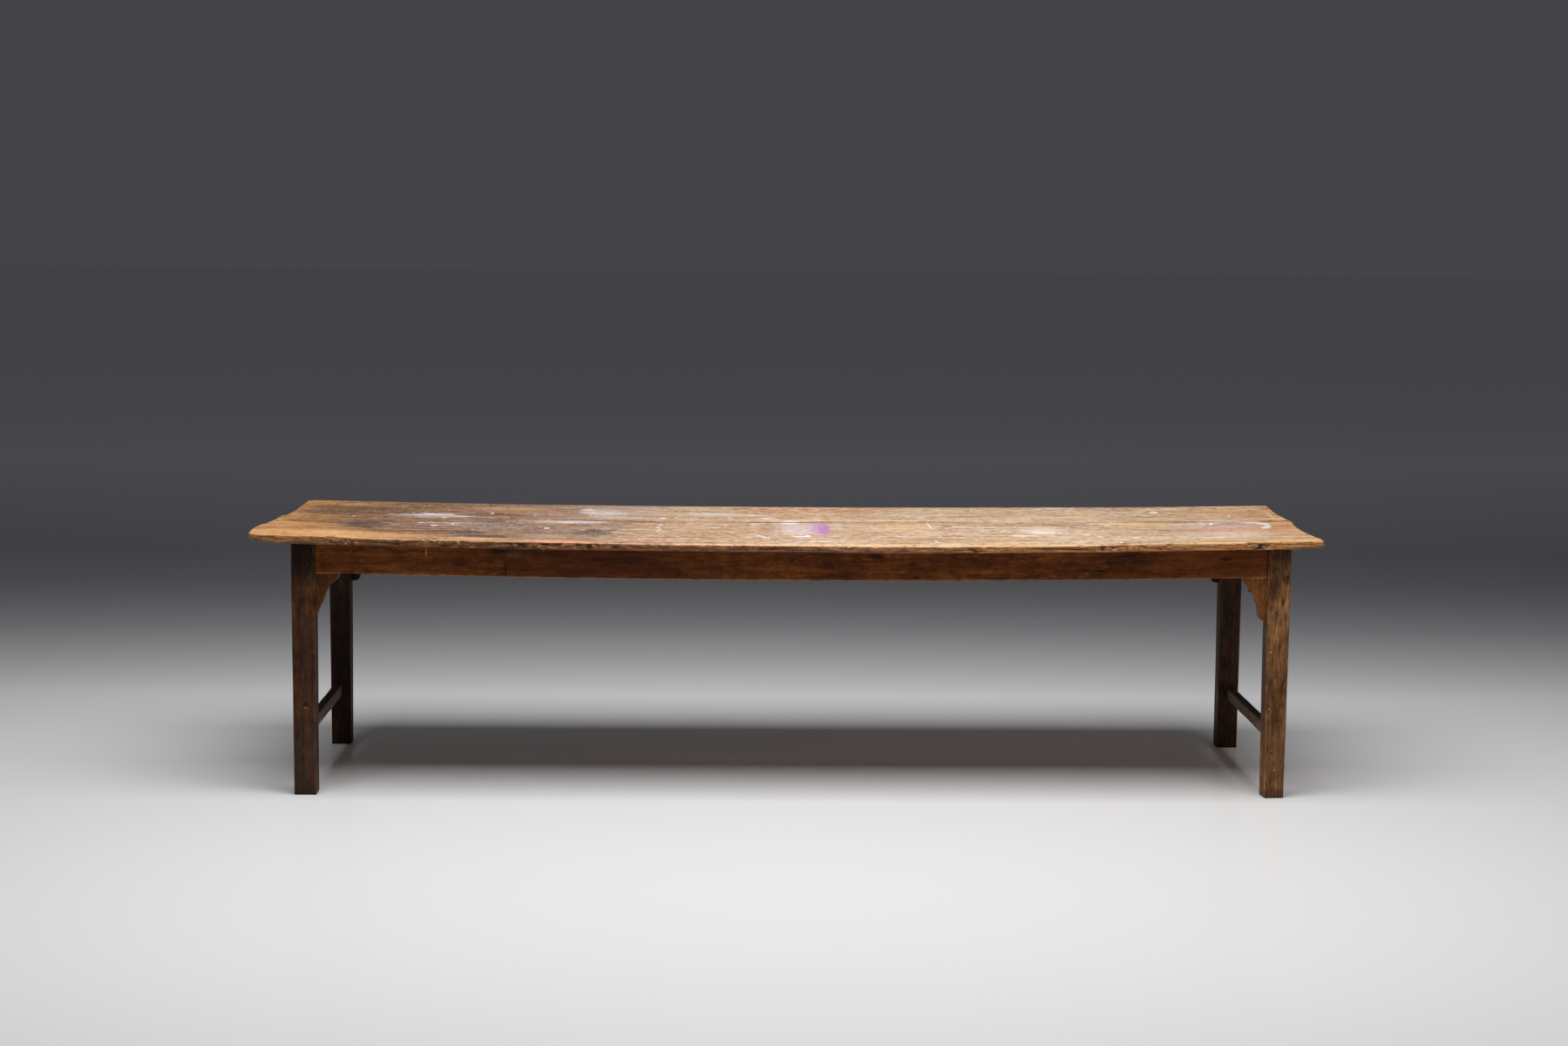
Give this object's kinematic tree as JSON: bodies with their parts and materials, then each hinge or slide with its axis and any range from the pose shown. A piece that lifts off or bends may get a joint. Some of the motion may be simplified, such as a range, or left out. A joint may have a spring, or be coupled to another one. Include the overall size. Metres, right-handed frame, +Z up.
{
  "type": "refectory table",
  "caption": "Long refectory table: a sagging plank top on pegged aprons, square tapering legs with shaped corner brackets and low end stretchers, for dining or work.",
  "frame": {"origin": "on the floor under the middle of the top", "axes": "+X along the table, +Y from the front edge to the back edge, +Z up"},
  "size_m": [3.066, 0.927, 0.7608],
  "materials": {
    "top_wood": "bare and worn smooth, with old paint smears and flecks",
    "apron_wood": "old wax over brown stain, rubbed at the edges",
    "leg_wood": "dark brown, old wax, scuffed",
    "stretcher_wood": "dark brown, dull",
    "bracket_wood": "orange-brown, worn at the edges",
    "batten_wood": "raw and dusty",
    "peg_wood": "end grain, dark",
    "nail_iron": "black, hand forged"
  },
  "bodies": {
    "root": {"top_board_front": "top_wood", "top_board_back": "top_wood", "apron_front": "apron_wood", "apron_back": "apron_wood", "apron_left": "apron_wood", "apron_right": "apron_wood", "leg_front_left": "leg_wood", "leg_front_right": "leg_wood", "leg_back_left": "leg_wood", "leg_back_right": "leg_wood", "stretcher_left": "stretcher_wood", "stretcher_right": "stretcher_wood", "bracket_front_left": "bracket_wood", "bracket_front_right": "bracket_wood", "bracket_back_left": "bracket_wood", "bracket_back_right": "bracket_wood", "batten_left": "batten_wood", "batten_centre": "batten_wood", "batten_right": "batten_wood", "long_apron_pegs": "peg_wood", "end_apron_pegs": "peg_wood", "stretcher_pegs": "peg_wood", "bracket_nails": "nail_iron", "batten_nails": "nail_iron"}
  },
  "joints": []
}
